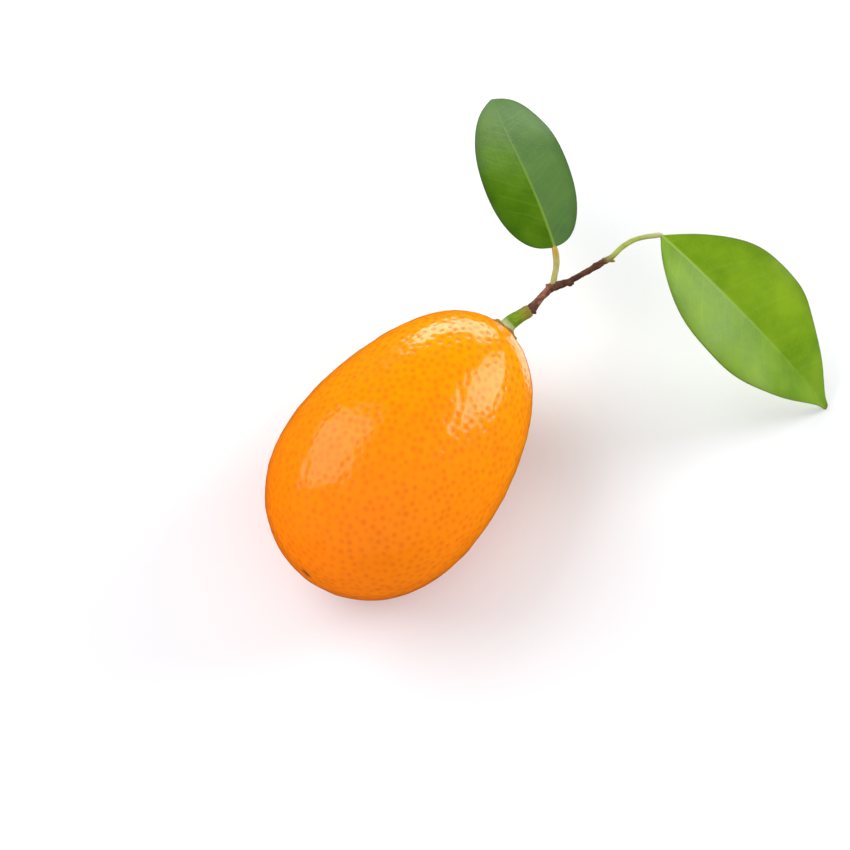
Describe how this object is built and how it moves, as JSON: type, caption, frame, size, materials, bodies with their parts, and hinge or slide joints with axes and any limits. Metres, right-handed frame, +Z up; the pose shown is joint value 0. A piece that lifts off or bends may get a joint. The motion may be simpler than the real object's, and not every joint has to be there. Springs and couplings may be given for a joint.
{
  "type": "kumquat",
  "caption": "Oval orange kumquat lying on its side, picked with its calyx, green stalk, short woody twig and leaves.",
  "frame": {"origin": "middle of the small flat spot that the fruit rests on", "axes": "+X along the fruit, seen from above, from its blossom end to its stem end; +Z up; +Y to the left of +X"},
  "size_m": [0.0742, 0.0628, 0.0288],
  "materials": {
    "rind": "satin",
    "calyx_green": "matte",
    "stalk_green": "satin",
    "bark": "matte",
    "leaf_stalk_green": "satin",
    "left_leaf_green": "satin",
    "right_leaf_green": "satin"
  },
  "bodies": {
    "root": {"fruit": "rind", "calyx": "calyx_green", "fruit_stalk": "stalk_green", "twig": "bark", "left_leaf_stalk": "leaf_stalk_green", "left_leaf_blade": "left_leaf_green", "right_leaf_stalk": "leaf_stalk_green", "right_leaf_blade": "right_leaf_green"}
  },
  "joints": []
}
